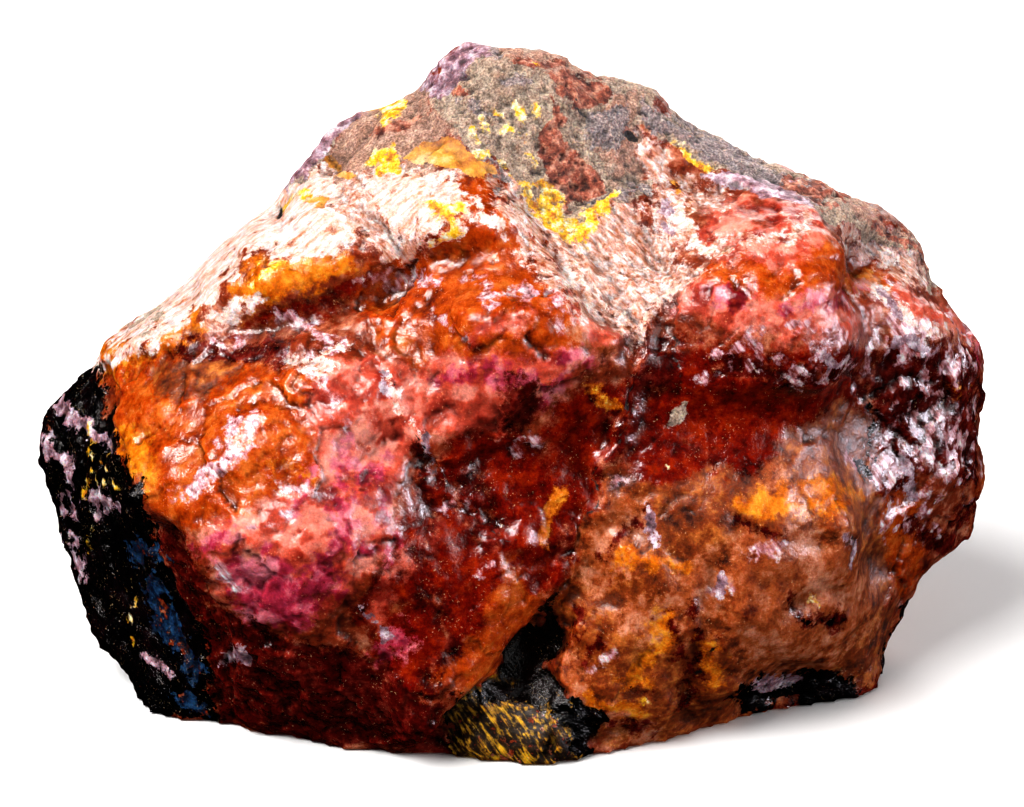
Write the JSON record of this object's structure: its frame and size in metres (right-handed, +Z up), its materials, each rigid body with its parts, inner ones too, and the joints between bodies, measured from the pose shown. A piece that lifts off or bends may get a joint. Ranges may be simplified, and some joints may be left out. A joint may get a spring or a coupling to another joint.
{
  "type": "rhodochrosite specimen",
  "caption": "Rough, broken lump of massive red-orange rhodochrosite with a weathered top, resting on a flat break.",
  "frame": {"origin": "on the flat break that the stone rests on, under the middle of its bounding box", "axes": "+Z up, +X to the right and +Y away from the viewer as the glassy broken front is seen"},
  "size_m": [0.08, 0.0496, 0.0529],
  "materials": {
    "massive_rhodochrosite": "glassy, wet-looking red-orange and pink carbonate, with a dull grey-brown weathered top and a black oxide flank"
  },
  "bodies": {
    "root": {"rhodochrosite_stone": "massive_rhodochrosite"}
  },
  "joints": []
}
